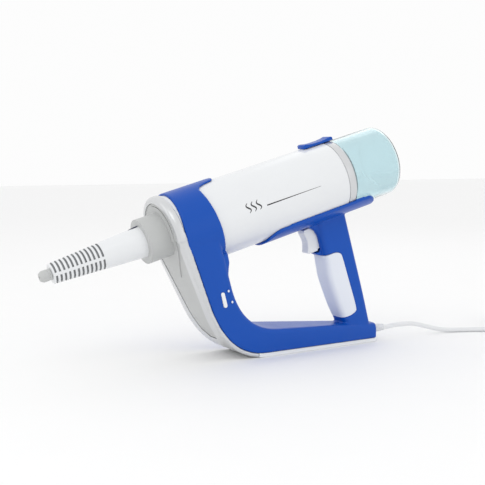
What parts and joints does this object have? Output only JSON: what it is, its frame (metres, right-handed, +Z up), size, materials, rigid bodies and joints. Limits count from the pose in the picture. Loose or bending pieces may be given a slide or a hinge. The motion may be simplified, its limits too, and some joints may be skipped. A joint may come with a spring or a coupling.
{
  "type": "steam mop",
  "caption": "Handheld steam unit with a pitched barrel, clear rear water tank, long ribbed nozzle, D-shaped frame with a trigger handle, flat base and mains cord.",
  "frame": {"origin": "on the flat sole of the base, in the middle plane, under the trigger handle's front side", "axes": "+Z up from the sole, +X from the nozzle towards the tank and the cord, +Y to the right-hand shell's side"},
  "size_m": [0.7481, 0.1108, 0.2717],
  "materials": {
    "blue_plastic": "semi-gloss",
    "white_plastic": "semi-gloss",
    "grey_plastic": "satin",
    "dark_plastic": "matt",
    "silver_trim": "satin metallic",
    "silver_plastic": "satin metallic paint",
    "aqua_tank": "clear, tinted pale blue",
    "soft_grip": "matt soft-touch",
    "cast_aluminium": "as cast",
    "steel": "bright",
    "brass": "bright",
    "seal_rubber": "matt",
    "silicone_hose": "satin",
    "circuit_board": "matt",
    "cord_jacket": "satin",
    "pump_body": "painted dark"
  },
  "bodies": {
    "frame": {"left_shell": "blue_plastic", "right_shell": "blue_plastic", "barrel_housing": "white_plastic", "latch_spring": "steel", "tank_ring": "silver_trim", "rear_bulkhead": "grey_plastic", "dock_port": "brass", "port_seal": "seal_rubber", "boiler": "cast_aluminium", "boiler_support_front": "grey_plastic", "boiler_support_rear": "grey_plastic", "pump_support": "grey_plastic", "heating_element": "steel", "thermostat": "dark_plastic", "thermal_fuse": "steel", "pump": "pump_body", "inlet_hose": "silicone_hose", "outlet_hose": "silicone_hose", "steam_pipe": "steel", "nozzle_socket": "dark_plastic", "front_trim": "silver_plastic", "front_panel": "grey_plastic", "nose_plate": "grey_plastic", "base_trim": "white_plastic", "grip_insert": "soft_grip", "trigger_pin": "steel", "microswitch": "dark_plastic", "trigger_spring": "steel", "circuit_board": "circuit_board", "relay": "blue_plastic", "capacitor": "silver_trim", "indicator_window": "white_plastic", "indicator_lamp": "circuit_board", "strain_relief": "white_plastic", "inner_lead": "cord_jacket", "power_cord": "cord_jacket", "cord_coil": "cord_jacket", "cord_tail": "cord_jacket", "plug_body": "white_plastic", "plug_pin_left": "brass", "plug_pin_right": "brass", "case_screw_1": "steel", "case_screw_2": "steel", "case_screw_3": "steel", "case_screw_4": "steel", "case_screw_5": "steel", "case_screw_6": "steel"},
    "trigger": {"trigger": "white_plastic"},
    "plunger": {"switch_plunger": "white_plastic"},
    "latch": {"latch_button": "blue_plastic"},
    "tank": {"water_tank": "aqua_tank", "tank_lid": "grey_plastic"},
    "cap": {"fill_cap": "blue_plastic"},
    "valve": {"tank_valve": "grey_plastic"},
    "nozzle": {"nozzle": "white_plastic", "nozzle_tip": "grey_plastic", "nozzle_seal": "seal_rubber"},
    "release": {"nozzle_release": "blue_plastic"}
  },
  "joints": [
    {"name": "trigger_pull", "type": "hinge", "parent": "frame", "child": "trigger", "pos_m": [0.05045, 0, 0.14789], "axis": [0, -1, 0], "range_deg": [0, 12], "stiffness_Nm_per_rad": 0.3, "springref_deg": -8.59, "deforming": ["trigger_spring"]},
    {"name": "plunger_push", "type": "slide", "parent": "frame", "child": "plunger", "axis": [0.9613, 0, 0.2756], "range_m": [0, 0.002]},
    {"name": "latch_slide", "type": "slide", "parent": "frame", "child": "latch", "axis": [-0.9613, 0, -0.2756], "range_m": [0, 0.006], "stiffness_N_per_m": 300, "springref_m": -0.003, "deforming": ["latch_spring"]},
    {"name": "tank_pull", "type": "slide", "parent": "frame", "child": "tank", "axis": [0.9613, 0, 0.2756], "range_m": [0, 0.03]},
    {"name": "cap_turn", "type": "hinge", "parent": "tank", "child": "cap", "pos_m": [0.06891, 0, 0.23225], "axis": [0.9613, 0, 0.2756], "range_deg": [0, 90]},
    {"name": "valve_lift", "type": "slide", "parent": "tank", "child": "valve", "axis": [0.9613, 0, 0.2756], "range_m": [0, 0.003], "stiffness_N_per_m": 200, "springref_m": -0.002},
    {"name": "nozzle_pull", "type": "slide", "parent": "frame", "child": "nozzle", "axis": [-0.9613, 0, -0.2756], "range_m": [0, 0.03]},
    {"name": "release_press", "type": "hinge", "parent": "nozzle", "child": "release", "pos_m": [-0.19781, 0, 0.15202], "axis": [0, 1, 0], "range_deg": [0, 3], "stiffness_Nm_per_rad": 0.2, "springref_deg": -5.73}
  ],
  "couplings": [
    {"joint": "plunger_push", "follows": "trigger_pull", "m_per_rad": 0.0085}
  ]
}
